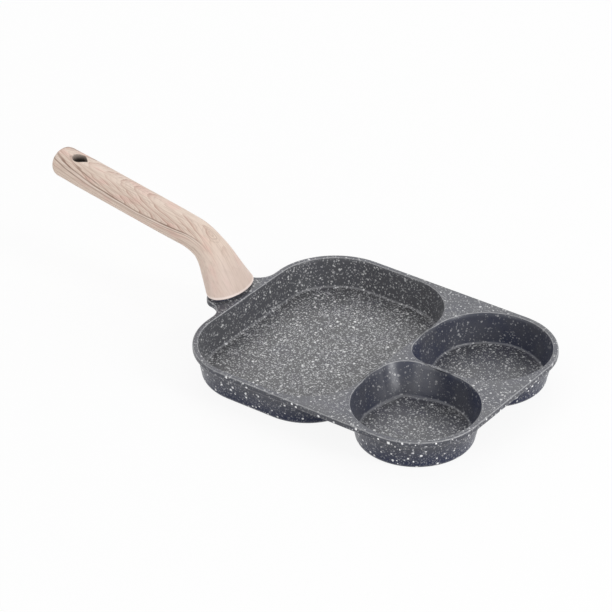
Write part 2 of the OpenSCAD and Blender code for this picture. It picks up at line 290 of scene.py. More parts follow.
low, high = 0.0, 180.0
for _ in range(HALVINGS):
    touch = (low + high) / 2
    if oval(touch, -tab_curve_r)[0][0] > -half_l - tab_curve_r:
        low = touch
    else:
        high = touch
curve_mid, oval_way = oval(touch, -tab_curve_r)
swing = math.degrees(math.atan2(-oval_way[1], -oval_way[0]))
curve_points, curve_facing = corner(curve_mid[0], curve_mid[1], tab_curve_r, 0, swing, steps=20)
hollow_curve = (curve_points, -curve_facing)
oval_end = oval(np.linspace(touch, 360 - touch, 61)[1:-1])

edge, upper = block_half(-half_l, half_l, half_w, near_corner_r, cup_r + rim_w, arc_steps=26, top_steps=16)
rear = side((-half_l, half_w - near_corner_r), (-half_l, curve_mid[1]), (-1, 0), steps=4)
upper = join(upper, rear, hollow_curve)
plate_edge = join(edge, upper, oval_end, mirrored(upper))
print("the curves touch the oval at", round(touch, 1), "degrees; points:", len(plate_edge[0]))

# %% [markdown]
# ## The cups' outlines
# Each cup is nearly round at its floor, but at the rim its corner at the middle of the pan is squarer,
# so that the cup fills the plate. Under that corner the floor is drawn out to a small crease. Both outlines
# are written as a distance from the cup's middle for each direction, and a wall is a slow change from one
# list of distances to the other. The directions stand closer together near the crease, which is the only
# place that bends sharply.

# %% Draw a cup at the rim and at the floor
CUP_POINTS, CROWDING, CORNER_STEPS, SHARPEST = 192, 0.6, 60, 0.3
inner_mid = np.array([cup_x0 + cup_inner_r, cup_y0 + cup_inner_r])
crease_way = math.atan2(inner_mid[1] - cup_mid[1], inner_mid[0] - cup_mid[0])
even = np.linspace(-np.pi, np.pi, CUP_POINTS, endpoint=False)
directions = np.sort(np.mod(crease_way + even - CROWDING * np.sin(even), 2 * np.pi))
ray = np.stack([np.cos(directions), np.sin(directions)], 1)

rim_corners = join(
    corner(cup_x1 - cup_r, cup_y1 - cup_r, cup_r, 0, 90, CORNER_STEPS),
    corner(cup_x0 + cup_r, cup_y1 - cup_r, cup_r, 90, 180, CORNER_STEPS),
    corner(inner_mid[0], inner_mid[1], cup_inner_r, 180, 270, CORNER_STEPS),
    corner(cup_x1 - cup_r, cup_y0 + cup_r, cup_r, 270, 360, CORNER_STEPS))


def cup_rim(grow):
    """Distance from the cup's middle to the rim's outline in each direction, the outline grown outwards."""
    seen = rim_corners[0] + grow * rim_corners[1] - cup_mid
    angle = np.mod(np.arctan2(seen[:, 1], seen[:, 0]), 2 * np.pi)
    order = np.argsort(angle)
    return np.interp(directions, angle[order], np.linalg.norm(seen, axis=1)[order], period=2 * np.pi)


def cup_base(grow):
    """Distance to the floor's outline: a large round, a small one further out, and lines that touch both."""
    r, tip_r = cup_r - cup_lean + grow, max(crease_r + grow, SHARPEST)
    shift = r + crease_out - tip_r
    turn = np.abs(np.mod(directions - crease_way + np.pi, 2 * np.pi) - np.pi)
    touch = math.acos((r - tip_r) / shift)
    tip_end = math.atan2(tip_r * math.sin(touch), shift + tip_r * math.cos(touch))
    straight_part = r / np.cos(touch - np.minimum(turn, touch))
    tip_part = shift * np.cos(turn) + np.sqrt(np.maximum(tip_r ** 2 - (shift * np.sin(turn)) ** 2, 0))
    return np.where(turn > touch, r, np.where(turn > tip_end, straight_part, tip_part))


print("cup reach at the rim:", cup_rim(0).min().round(1), "to", cup_rim(0).max().round(1))

# %% [markdown]
# ## The cast body as one mesh
# Casting gives one closed skin with rounded edges and thin leaning walls. Boxes cut out of a block would
# leave long thin faces that shade badly, so the skin is made of rings instead. Each ring is an outline at
# one height, and neighbours are joined by a band of faces. Flat areas with holes are filled between rings.
# The coating isn't the same everywhere: dust lies thick on the floors and thin on the steep walls, pale
# flecks show most outside, and every edge is a little rubbed pale, with a painted highlight on the rub. The
# round where a floor meets its wall has a painted highlight as well. Some faces, the tab most of all, get a
# lighter tone as painted light, and the lower outside walls a darker navy as painted shade. So each ring
# also gets four numbers: dust, flecks, rub with painted highlight, and painted light.

# %% Helpers that join rings into a skin
body = bmesh.new()
coat_layer = body.verts.layers.float_color.new("coat_numbers")


def coated_vertex(place, coat):
    vertex = body.verts.new(place)
    vertex[coat_layer] = coat
    return vertex


def ring(points, z, coat):
    """Vertices of one ring in millimetres, with the four numbers for the coating."""
    return [coated_vertex((x * MM, y * MM, z * MM), coat) for x, y in points]


def pairs(loop):
    """Each item of a closed loop with the next one."""
    return zip(loop, loop[1:] + loop[:1])


def skin(mesh, rings):
    """Joins each ring to the next by a band of faces, and returns the last ring."""
    for a, b in zip(rings, rings[1:]):
        for (a0, a1), (b0, b1) in zip(pairs(a), pairs(b)):
            mesh.faces.new((a0, a1, b1, b0))
    return rings[-1]


def fill(loops):
    """Fills the flat area between closed loops: the first outside, the others holes."""
    edges = [body.edges.get(pair) or body.edges.new(pair) for loop in loops for pair in pairs(loop)]
    bmesh.ops.triangle_fill(body, use_beauty=True, use_dissolve=False, edges=edges, normal=(0, 0, 1))


def offset(outline, d):
    """The points of an outline, moved outwards by d."""
    return outline[0] + d * outline[1]


def face_outwards(mesh):
    """Turns the faces of a closed skin outwards and returns its volume in cubic millimetres."""
    bmesh.ops.recalc_face_normals(mesh, faces=mesh.faces[:])
    if mesh.calc_volume(signed=True) < 0:
        bmesh.ops.reverse_faces(mesh, faces=mesh.faces[:])
    return round(mesh.calc_volume(signed=True) / MM ** 3)


print("layer for the coating:", coat_layer.name)

# %% State the coating's numbers and how they change round an edge
# Dust, flecks, rub with painted highlight, painted light; then the rub's place among them and its narrowness
# The fourth number is painted light: a lighter tone, full on the tab, partial on walls and upper outside
PLATE, TAB = (0.6, 0.55, 0.0, 0.0), (0.75, 0.55, 0.0, 1.0)
# Low on the outer walls the coat fades to a darker navy: painted shade
OUTSIDE, OUTSIDE_LOW_SHADED, UNDERSIDE = (0.5, 0.94, 0.0, 0.6), (0.26, 1.0, 0.0, 0.0), (0.2, 0.95, 0.0, 0.0)
LARGE_FLOOR, LARGE_WALL = (1.0, 0.62, 0.0, 0.3), (0.64, 0.45, 0.0, 0.75)
CUP_FLOOR, CUP_WALL = (0.71, 0.52, 0.0, 0.0), (0.33, 0.2, 0.0, 0.0)
RUB_HIGHLIGHT_SLOT, RUB_HIGHLIGHT_NARROWNESS = 2, 5


def quarter(r, a, b, steps):
    """Pairs of sideways and upward distance round a quarter of radius r."""
    t = np.radians(np.linspace(a, b, steps + 1))
    return list(zip(r * np.cos(t), r * np.sin(t)))


def blend(a, b, t, rub_and_highlight=0.0):
    """Coating numbers on the way from a to b, with the rub and its painted highlight strongest half way."""
    mixed = np.array(a) * (1 - t) + np.array(b) * t
    mixed[RUB_HIGHLIGHT_SLOT] += rub_and_highlight * math.sin(math.pi * t) ** RUB_HIGHLIGHT_NARROWNESS
    return mixed


print("half way from the outside to the plate:", blend(OUTSIDE, PLATE, 0.5))

# %% Round the plate's edge and the tab's
EDGE_STEPS, level_strip = 6, 0.25
# How strongly the plate's under and top edges are rubbed pale; the pale line is also a painted highlight
UNDER_RUB_HIGHLIGHT, TOP_RUB_HIGHLIGHT = 0.3, 1.3
innermost = offset(plate_edge, -edge_round - level_strip)
rim_rings = [ring(innermost, plate_z, UNDERSIDE)]
for low_angle, mid_z, start, end, rub_highlight in (
        (-90, plate_z + edge_round, UNDERSIDE, OUTSIDE, UNDER_RUB_HIGHLIGHT),
        (0, pan_h - edge_round, OUTSIDE, PLATE, TOP_RUB_HIGHLIGHT)):
    for i, (out, rise) in enumerate(quarter(edge_round, low_angle, low_angle + 90, EDGE_STEPS)):
        coat = blend(start, end, i / EDGE_STEPS, rub_highlight)
        rim_rings.append(ring(offset(plate_edge, out - edge_round), mid_z + rise, coat))
rim_rings.append(ring(innermost, pan_h, PLATE))
skin(body, rim_rings)
print("plate edge:", len(rim_rings), "rings")

# %% [markdown]
# ## Hollows and bowls
# Inside, a hollow starts with a small rounded lip, leans down and turns into its floor through a small
# curve. Outside, the bowl leans the same way one wall's thickness further out and ends in a larger curve at
# the table. Both sides are lists of sideways shift, height and coating, and the same two functions make
# them for all three bowls.

# %% List the heights of a hollow and of a bowl
bowl_fillet, wall_end, lip_strip = 1.0, 0.3, 0.2
LIP_ROWS, WALL_ROWS, FLOOR_STEPS, FILLET_ROWS, BASE_STEPS = 7, 9, 8, 6, 10
LIP_END, FILLET_END, FLOOR_BEGIN, BASE_BEGIN = 84, 80, -12, -5
# Rub plus painted highlight on lips and base edge; on the concave floor round, a painted highlight only
LIP_RUB_HIGHLIGHT, FLOOR_ROUND_HIGHLIGHT, BASE_RUB_HIGHLIGHT = 1.6, 0.4, 0.25
FLOOR_STRIPS, BASE_STRIPS = (0.3, 3), (0.4, 4)


def lean_at(z, lean):
    """How far a wall has leant inwards at a height."""
    return lean * (pan_h - z) / depth


def turn_down(r, top_z, wall_out, last_angle, rows):
    """(shift outwards, height) along an arc from a level face down into a wall."""
    return [(wall_out + r * (1 - math.sin(t)), top_z - r * (1 - math.cos(t)))
            for t in np.radians(np.linspace(0, last_angle, rows))]


def turn_in(r, mid_z, mid_out, first_angle, steps):
    """(shift outwards, height) along an arc from a wall down into a level face."""
    return [(mid_out + out, mid_z + rise) for out, rise in quarter(r, first_angle, -90, steps)]


def coated(places, start, end, parts, rub_and_highlight=0.0):
    """The same places with coating numbers that go from start to end."""
    return [(shift, z, blend(start, end, i / parts, rub_and_highlight)) for i, (shift, z) in enumerate(places)]


def hollow_profile(lean, wall, flat):
    """(shift outwards, height, coating numbers) from the lip down to the flat floor."""
    rows = [(lip_round + lip_strip, pan_h, PLATE)]
    rows += coated(turn_down(lip_round, pan_h, 0.0, LIP_END, LIP_ROWS), PLATE, wall, LIP_ROWS, LIP_RUB_HIGHLIGHT)
    turn_z = floor_t + floor_round
    heights = np.linspace(pan_h - lip_round - wall_end, turn_z + wall_end, WALL_ROWS)
    rows += [(-lean_at(z, lean), z, wall) for z in heights]
    inner = -lean_at(turn_z, lean) - floor_round
    round_part = turn_in(floor_round, turn_z, inner, FLOOR_BEGIN, FLOOR_STEPS)
    rows += coated(round_part, wall, flat, FLOOR_STEPS, FLOOR_ROUND_HIGHLIGHT)
    return rows + [(inner - strip, floor_t, flat) for strip in FLOOR_STRIPS]


def bowl_profile(lean):
    """The same for the outside, from the plate's underside down to the flat bottom."""
    top_out = wall_t - lean_at(plate_z, lean)
    fillet = turn_down(bowl_fillet, plate_z, top_out, FILLET_END, FILLET_ROWS)
    rows = [(shift, z, UNDERSIDE) for shift, z in fillet]
    heights = np.linspace(plate_z - bowl_fillet - lip_strip, base_round + wall_end, WALL_ROWS)
    rows += coated([(wall_t - lean_at(z, lean), z) for z in heights], OUTSIDE, OUTSIDE_LOW_SHADED, WALL_ROWS - 1)
    inner = wall_t - lean_at(base_round, lean) - base_round
    round_part = turn_in(base_round, base_round, inner, BASE_BEGIN, BASE_STEPS)
    rows += coated(round_part, OUTSIDE_LOW_SHADED, UNDERSIDE, BASE_STEPS, BASE_RUB_HIGHLIGHT)
    return rows + [(inner - strip, 0.0, UNDERSIDE) for strip in BASE_STRIPS]


large_hollow, large_outside = hollow_profile(large_lean, LARGE_WALL, LARGE_FLOOR), bowl_profile(large_lean)
print("hollow rows:", len(large_hollow), "bowl rows:", len(large_outside))

# %% Sink the large hollow and its bowl
BARELY = 0.12
INNER_SHARES = 0.75, 0.5, 0.25
ridge_mid = (large_x1 + cup_x0) / 2
top_loops, under_loops = [rim_rings[-1]], [rim_rings[0]]


def sink(profile, outline_at, loops):
    """Makes the rings of one hollow or bowl, closes its floor, and remembers its first loop."""
    rings = [ring(outline_at(shift, z), z, coat) for shift, z, coat in profile]
    loops.append(rings[0])
    last = skin(body, rings)
    flat_coat = last[0][coat_layer]
    centre = coated_vertex(sum((v.co for v in last), Vector()) / len(last), flat_coat)
    inner = [last]
    for share in INNER_SHARES:
        inner.append([coated_vertex(centre.co.lerp(v.co, share), flat_coat) for v in last])
    for v, following in pairs(skin(body, inner)):
        body.faces.new((v, following, centre))


def large_bowl(shift, z):
    """Outline of the large bowl, held back to just short of the middle of the ridge."""
    points = offset(large_rim, shift)
    points[:, 0] = np.minimum(points[:, 0], ridge_mid - BARELY)
    return points


sink(large_hollow, lambda shift, z: offset(large_rim, shift), top_loops)
sink(large_outside, large_bowl, under_loops)
print("faces so far:", len(body.faces))

# %% Sink the two cups
def cup_outline(front, least):
    """Rings of a cup, squared at the rim and round at the floor, held at the least x and y."""
    def at(shift, z):
        down = min(max((pan_h - z) / depth, 0.0), 1.0)
        extra = shift + lean_at(z, cup_lean)
        distances = cup_rim(extra) * (1 - down) + cup_base(extra) * down
        points = np.maximum(cup_mid + ray * distances[:, None], least)
        return points[::-1] * FLIP if front else points
    return at


cup_hollow, cup_outside = hollow_profile(cup_lean, CUP_WALL, CUP_FLOOR), bowl_profile(cup_lean)
for front in (False, True):
    sink(cup_hollow, cup_outline(front, least=(-np.inf, -np.inf)), top_loops)
    sink(cup_outside, cup_outline(front, least=(ridge_mid + BARELY, BARELY)), under_loops)
print("faces with the cups:", len(body.faces))

# %% [markdown]
# ## Pad, screw seat and the flat areas
# Under the handle's foot the tab carries a low oval pad. From below, a round seat takes the screw's head,
# and its hole goes up through the pad. These are rings too. Last, the plate's top and underside are filled
# between all their loops.

# %% Build the pad and the seat, then fill the flat areas
screw_x, seat_d, seat_depth, seat_bevel, screw_hole = foot_x - 2.6, 12.0, 3.4, 0.4, 5.5
pad_fillet, pad_bevel, pad_soft = 0.6, 0.5, 0.15
OVAL_POINTS, ROUND_POINTS = 72, 48
oval_ring = np.linspace(0, 360, OVAL_POINTS + 1)[:-1]
pad_rows = [(-pad_fillet, pan_h), (-pad_soft, pan_h + pad_soft), (0.0, pan_h + pad_fillet)]
pad_rows += [(0.0, pad_z - pad_bevel), (pad_soft, pad_z - pad_soft), (pad_bevel, pad_z)]
pad_rings = []
for inset, z in pad_rows:
    coat = UNDERSIDE if z > pan_h else TAB
    pad_rings.append(ring(oval(oval_ring, pad_inset + inset)[0], z, coat))
top_loops.append(pad_rings[0])
pad_top = skin(body, pad_rings)


def round_ring(diameter, z):
    return ring(corner(screw_x, 0, diameter / 2, 0, 360, ROUND_POINTS)[0][:-1], z, UNDERSIDE)


seat_z = plate_z + seat_depth
seat_rows = (seat_d + 2 * seat_bevel, plate_z), (seat_d, plate_z + seat_bevel), (seat_d, seat_z)
seat_rings = [round_ring(*row) for row in seat_rows]
hole_rings = [round_ring(screw_hole, seat_z), round_ring(screw_hole, pad_z)]
under_loops.append(seat_rings[0])
fill([skin(body, seat_rings), hole_rings[0]])
fill([pad_top, skin(body, hole_rings)])
fill(top_loops)
fill(under_loops)
open_edges = sum(1 for e in body.edges if len(e.link_faces) != 2)
print("volume in cubic mm:", face_outwards(body), "edges that aren't shared by two faces:", open_edges)

# %% Turn the skin into the pan's visible body
def as_object(mesh_maker, name):
    """A new object from a bmesh, which isn't needed afterwards."""
    mesh = bpy.data.meshes.new(name)
    mesh_maker.to_mesh(mesh)
    mesh_maker.free()
    return new_object(name, mesh)


def finished(piece, node):
    """Lets a piece stand for a node of the frame."""
    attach(piece, "root")
    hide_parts(node)
    return piece


pan = finished(as_object(body, "cast_body"), "pan_body")
print("cast body:", len(pan.data.polygons), "faces, size in mm", [round(v / MM, 1) for v in pan.dimensions])

# %% [markdown]
# ## The handle's middle line
# The handle rises steeply from the tab, bends, and runs out in a straight grip. Its middle line is a
# straight piece, an arc and another straight piece in the plane that halves the pan. Sections stand across
# that line, but turn level at the foot, so that the foot sits flat, and lean at the tip, whose upper side
# reaches further out. A bevelled curve could give the line too, but not sections that change and turn.

# %% State the handle's sizes and its middle line
neck_angle, neck_l, bend_r, grip_angle, grip_l = 58.0, 21.4, 40.0, 9.6, 130.0
neck_w, grip_w, grip_t = 27.8, 29.8, 22.0
tip_l, tip_lean, lean_from, lean_over, tip_power = 6.0, 19.0, 35.0, 25.0, 2.5
foot_bevel, flare_power, hair = 0.8, 1.26, 0.04
bend_l = bend_r * math.radians(neck_angle - grip_angle)
handle_l = neck_l + bend_l + grip_l
turn_share, flare_share = 0.62, 0.45
turn_l, flare_l = neck_l + turn_share * bend_l, neck_l + flare_share * bend_l
neck_dir, grip_dir = (
    np.array([-math.cos(a), math.sin(a)]) for a in (math.radians(neck_angle), math.radians(grip_angle)))
foot_mid = np.array([foot_x, foot_z])
bend_mid = foot_mid + neck_l * neck_dir - bend_r * np.array([neck_dir[1], -neck_dir[0]])
grip_start = bend_mid + bend_r * np.array([grip_dir[1], -grip_dir[0]])


def ease(t):
    """0 below 0, 1 above 1, and a soft change between them."""
    u = np.clip(t, 0, 1)
    return u * u * (3 - 2 * u)


def heading(s):
    """The middle line's angle above the table, at length s from the foot."""
    return np.radians(neck_angle - (neck_angle - grip_angle) * np.clip((s - neck_l) / bend_l, 0, 1))


def middle(s):
    """Points (x, z) of the middle line at lengths s from the foot."""
    s = np.atleast_1d(np.asarray(s, float))[:, None]
    a = heading(s)
    bent = bend_mid + bend_r * np.concatenate([np.sin(a), np.cos(a)], 1)
    neck = foot_mid + s * neck_dir
    grip = grip_start + (s - neck_l - bend_l) * grip_dir
    return np.where(s < neck_l, neck, np.where(s < neck_l + bend_l, bent, grip))


print("handle's length along its middle:", round(handle_l, 1), "tip at", middle(handle_l)[0].round(1))

# %% Give the sections their sizes
AROUND = 96


def half_width(s):
    flare = foot_w + (neck_w - foot_w) * (1 - np.clip(1 - s / flare_l, 0, 1) ** flare_power)
    grip = neck_w + (grip_w - neck_w) * ease((s - flare_l) / turn_l)
    return np.where(s < flare_l, flare, grip) / 2


def half_thick(s):
    return (foot_l + (grip_t - foot_l) * ease(s / turn_l)) / 2


def section(s, scale=1.0, inset=0.0):
    """Points (x, y, z) of the oval section at length s, a hair inside the exact model's."""
    u = np.linspace(0, 2 * np.pi, AROUND, endpoint=False)
    lean = math.radians(tip_lean) * ease((s - handle_l + lean_from) / lean_over)
    tilt = np.pi / 2 + (heading(s) - np.pi / 2) * ease(s / turn_l) - lean
    wide, thick = (half(s) * scale - inset - hair for half in (half_width, half_thick))
    above = thick * np.cos(u)
    x, z = middle(s)[0]
    return np.stack([x + above * np.sin(tilt), wide * np.sin(u), z + above * np.cos(tilt)], 1)


widths = [round(2 * float(half_width(s)), 1) for s in (0, flare_l, handle_l)]
print("widths at foot, neck and grip:", widths)

# %% Build the handle's skin from its sections
BEVEL_ROWS, BEND_ROWS, GRIP_ROWS, TIP_ROWS = 5, 60, 60, 14
BEVEL_ANGLES, TIP_ANGLES = (8, 82), (0, 87)
grip_mesh = bmesh.new()


def new_ring(mesh, places):
    """Vertices of one ring at places in millimetres."""
    return [mesh.verts.new(Vector(place) * MM) for place in places]


rings = []
bevel_s = foot_bevel / math.sin(math.radians(neck_angle))
for t in np.radians(np.linspace(*BEVEL_ANGLES, BEVEL_ROWS)):
    points = section(bevel_s * (1 - math.cos(t)), inset=foot_bevel * (1 - math.sin(t)))
    rings.append(new_ring(grip_mesh, points))
past_bend = neck_l + bend_l * 3 / 2
lengths = [*np.linspace(bevel_s, past_bend, BEND_ROWS)]
lengths += [*np.linspace(past_bend, handle_l - tip_l, GRIP_ROWS + 1)[1:]]
rings += [new_ring(grip_mesh, section(s)) for s in lengths]
for t in np.radians(np.linspace(*TIP_ANGLES, TIP_ROWS + 1)[1:]):
    s = handle_l - hair - tip_l + tip_l * math.sin(t) ** (2 / tip_power)
    rings.append(new_ring(grip_mesh, section(s, math.cos(t) ** (2 / tip_power))))
skin(grip_mesh, rings)
grip_mesh.faces.new(rings[-1])
print("rings along the handle:", len(rings))

# %% Close the foot, with the hollow that sits over the pad
socket_gap, socket_rise, foot_strip = 0.3, 0.03, 0.3
foot_angles = np.degrees(np.linspace(0, 2 * np.pi, AROUND, endpoint=False))
under = [rings[0]]
for inset, z in (
        (foot_bevel + foot_strip, foot_z), (pad_inset - socket_gap, foot_z),
        (pad_inset - socket_gap, pad_z + socket_rise)):
    under.append(new_ring(grip_mesh, [(x, y, z) for x, y in oval(foot_angles, inset)[0]]))
skin(grip_mesh, under[::-1])
grip_mesh.faces.new(under[-1])
print("handle's volume before the hole:", face_outwards(grip_mesh), "cubic mm")

# %% [markdown]
# ## The hanging hole
# Near the tip a drop-shaped hole goes straight through the grip, with its point towards the pan. Its edge is
# softly rounded and follows the curved surface. The cutter for it is therefore made of rings as well: each
# ring is the drop's outline, a little wider near the surface, at a height that a ray cast onto the handle
# gives. A Boolean modifier then takes the cutter away.

# %% Draw the drop on the handle's skin
from mathutils.bvhtree import BVHTree

hang_r, hang_point, hang_from_tip, hole_round, point_r = 5.4, 8.2, 17.8, 0.8, 0.9
FAR_OUT = 40
hang_s = handle_l - hang_from_tip
hang_x, hang_z = middle(hang_s)[0]
hang_mid = Vector((hang_x, 0, hang_z))
along, across = Vector((-grip_dir[0], 0, -grip_dir[1])), Vector((0, 1, 0))
outward = along.cross(across)
drop_turn = math.degrees(math.acos(hang_r / hang_point))
point_x = hang_point - point_r / math.cos(math.radians(drop_turn))
round_end = corner(0, 0, hang_r, drop_turn, 360 - drop_turn, steps=44)
point_end = corner(point_x, 0, point_r, -drop_turn, drop_turn, steps=10)
flanks = [side(a[0][-1], b[0][0], a[1][-1], 6) for a, b in ((round_end, point_end), (point_end, round_end))]
drop = join(round_end, flanks[0], point_end, flanks[1])
surface = BVHTree.FromBMesh(grip_mesh)


def on_skin(x, y, way, rise):
    """A place beside the hole's middle, at a rise above the handle's skin on its upper or lower side."""
    inside = hang_mid + along * x + across * y
    hit = surface.ray_cast((inside + outward * way * FAR_OUT) * MM, -outward * way)[0]
    return inside + outward * ((hit / MM - inside).dot(outward) + way * rise)


print("handle's thickness at the hole:", round((on_skin(0, 0, 1, 0) - on_skin(0, 0, -1, 0)).length, 1), "mm")

# %% Make the cutter and cut the hole
# The cutter reaches well above the skin, and its rounded edge meets the skin at an angle
above_skin, just_above, wider = 4.0, 0.35, 1.5 * hole_round
EDGE_ANGLE, EDGE_ROWS = 66, 6
cutter_rows = [(wider, above_skin), (wider, just_above)]
for t in np.radians(np.linspace(EDGE_ANGLE, 0, EDGE_ROWS)):
    cutter_rows.append((hole_round * (1 - math.cos(t)), -hole_round * (1 - math.sin(t))))
cutter_mesh = bmesh.new()
cutter_rings = []
for way, rows in ((1, cutter_rows), (-1, cutter_rows[::-1])):
    for shift, rise in rows:
        places = [on_skin(x, y, way, rise) for x, y in offset(drop, shift)]
        cutter_rings.append(new_ring(cutter_mesh, places))
skin(cutter_mesh, cutter_rings)
for end in (cutter_rings[0], cutter_rings[-1]):
    cutter_mesh.faces.new(end)
print("cutter's volume:", face_outwards(cutter_mesh), "cubic mm")

cutter = as_object(cutter_mesh, "hole_cutter")
handle = finished(as_object(grip_mesh, "wood_look_handle"), "handle")
cut = handle.modifiers.new("hanging_hole", "BOOLEAN")
cut.operation, cut.object, cut.solver = "DIFFERENCE", cutter, "EXACT"
bpy.context.view_layer.update()
with_hole = handle.evaluated_get(bpy.context.evaluated_depsgraph_get())
cut_mesh = bpy.data.meshes.new_from_object(with_hole)
handle.modifiers.clear()
handle.data = cut_mesh
bpy.data.objects.remove(cutter)
print("handle with its hole:", len(handle.data.polygons), "faces")

# %% Mark the sharp edges
SHARP_ANGLE = 48
for piece in (pan, handle):
    piece.data.shade_smooth()
    piece.data.set_sharp_from_angle(angle=math.radians(SHARP_ANGLE))
print("sharp edges:", [sum(1 for e in piece.data.edges if e.use_edge_sharp) for piece in (pan, handle)])

# %% [markdown]
# ## Straight grain on a bent handle
# The wood look is a print that follows the bend, and a texture in object coordinates would cut straight
# across it. So every vertex gets its place on a straightened handle: how far along the middle line, how far
# sideways, and how far above. The grain is drawn there. The vertices on the wall of the hanging hole get a
# mark of their own: the print ends at its edge, and the wall is painted with shade and light instead.

# %% Store each vertex's place on the straightened handle
LINE_POINTS, PAST_TIP, CHUNK = 1200, 4, 2000
line_s = np.linspace(0, handle_l + PAST_TIP, LINE_POINTS)
line_xz = middle(line_s)
line_tangent = np.gradient(line_xz, axis=0)
line_tangent /= np.linalg.norm(line_tangent, axis=1, keepdims=True)
co = np.empty(len(handle.data.vertices) * 3)
handle.data.vertices.foreach_get("co", co)
co = co.reshape(-1, 3) / MM
straight = np.empty_like(co)
for start in range(0, len(co), CHUNK):
    part, result = co[start:start + CHUNK], straight[start:start + CHUNK]
    nearest = np.argmin(((part[:, None, [0, 2]] - line_xz[None]) ** 2).sum(-1), axis=1)
    gap, t = part[:, [0, 2]] - line_xz[nearest], line_tangent[nearest]
    result[:, 0] = line_s[nearest] + (gap * t).sum(1)
    result[:, 1] = part[:, 1]
    result[:, 2] = gap[:, 0] * t[:, 1] - gap[:, 1] * t[:, 0]
places = handle.data.attributes.new("straight_place", "FLOAT_VECTOR", "POINT")
places.data.foreach_set("vector", (straight * MM).ravel())
print("along the handle from", straight[:, 0].min().round(1), "to", straight[:, 0].max().round(1), "mm")

# %% Mark the vertices on the wall of the hole
NEAR_DROP = 0.2
from_hang = co - np.array(hang_mid)
flat_place = np.stack([from_hang @ np.array(along), from_hang[:, 1]], 1)
to_drop = np.array([np.linalg.norm(drop[0] - p, axis=1).min() for p in flat_place])
in_hole = np.where(to_drop < NEAR_DROP, 1.0, 0.0)
handle.data.attributes.new("in_hole", "FLOAT", "POINT").data.foreach_set("value", in_hole)
print("vertices on the wall of the hole:", int(in_hole.sum()))

# %% [markdown]
# ## The coating
# The pan is sprayed with a slate-grey coat, then with pale dust and with larger flecks, so that it looks like
# granite. Dots painted in an image would show seams; a Voronoi texture gives one random cell per speck in
# three dimensions instead. In each cell a round dot is kept or left out by chance, and its size and tone
# vary. Four layers do it: a bluish dust that only the outside has, fine dust, grains and flecks. The dust
# number thins out the fine dust and the grains, and the fleck number the rest. A slow noise bunches the
# dots a little, as spray does. Where a casting is handled and stacked, its edges rub pale; the same pale
# line is also a painted highlight along every edge, and alone a painted highlight along the round where a
# floor meets its wall. Under the specks, the lower outside walls get a darker navy as painted shade, and
# a lighter tone is laid over the tab and some walls as painted light.

# %% Small helpers for materials
def maths(add, operation, a, b=None):
    return add("Math", {0: a} if b is None else {0: a, 1: b}, operation=operation).outputs[0]


def product(add, first, *others):
    for factor in others:
        first = maths(add, "MULTIPLY", first, factor)
    return first


def vectors(add, operation, a, b):
    return add("VectorMath", {0: a, 1: b}, operation=operation).outputs[0]


def between(add, value, low, high, first=0.0, last=1.0, smooth=False):
    """A number that goes from first to last while the value goes from low to high, and stays there."""
    limits = {"Value": value, "From Min": low, "From Max": high, "To Min": first, "To Max": last}
    kind = "SMOOTHSTEP" if smooth else "LINEAR"
    return add("MapRange", limits, interpolation_type=kind).outputs["Result"]


def noise(add, place, scale, detail=2.0, rough=0.5, output="Fac"):
    """A soft noise, with scale waves in each unit of the place."""
    inputs = {"Vector": place, "Scale": scale, "Detail": detail, "Roughness": rough}
    return add("TexNoise", inputs).outputs[output]


def bump(add, height, strength, distance):
    return add("Bump", {"Height": height, "Strength": strength, "Distance": distance}).outputs["Normal"]


def tally(finish):
    print(finish.name, "has", len(finish.node_tree.nodes), "nodes now")


def dress(mesh, finish):
    mesh.materials.clear()
    mesh.materials.append(finish)


def moved(add, place, shift, most):
    """A place shifted by a coloured noise, at most by about half of most along each axis."""
    centred = vectors(add, "SUBTRACT", shift, (0.5, 0.5, 0.5))
    return vectors(add, "ADD", place, vectors(add, "MULTIPLY", centred, most))


print("helpers: maths, product, vectors, between, noise, bump, tally, dress, moved")

# %% Colour the coat below the specks
NAVY, LOW_NAVY_SHADE, WALL_SLATE = (0.030, 0.036, 0.068, 1), (0.024, 0.030, 0.062, 1), (0.066, 0.069, 0.088, 1)
SLATE, PALE_SLATE, PURPLE = (0.054, 0.054, 0.061, 1), (0.063, 0.064, 0.066, 1), (0.068, 0.066, 0.090, 1)
PAINTED_LIGHT_TONE = (0.084, 0.085, 0.093, 1)
coating, shader, add, connect = material("speckled_coating")
pan_place = add("TexCoord").outputs["Object"]
numbers = add("Attribute", attribute_name="coat_numbers").outputs
dust, flecks, rub_and_highlight = add("SeparateColor", {"Color": numbers["Color"]}).outputs[:3]
outside = between(add, flecks, 0.85, 1.0)
clouds = between(add, noise(add, pan_place, 38.0, 3.0), 0.35, 0.65)
purple_patches = between(add, noise(add, pan_place, 62.0), 0.5, 0.7, 0.0, 0.6)
# Where the flecks number is near 1, low on the outside, the coat turns a darker navy: painted shade
steep = mix(add, outside, mix(add, clouds, NAVY, WALL_SLATE), LOW_NAVY_SHADE)
flat = mix(add, purple_patches, mix(add, clouds, SLATE, PALE_SLATE), PURPLE)
coat = mix(add, between(add, dust, 0.25, 0.95), steep, flat)
# Painted light: the fourth number lays a lighter tone over the tab, the walls and the upper outside walls
coat = mix(add, numbers["Alpha"], coat, PAINTED_LIGHT_TONE)
tally(coating)

# %% Scatter the specks
SPECK_BEND = 0.9 * MM
speck_place = moved(add, pan_place, noise(add, pan_place, 700.0, output="Color"), [SPECK_BEND] * 3)
bunched = between(add, noise(add, pan_place, 85.0), 0.35, 0.6, 0.72, 1.0)


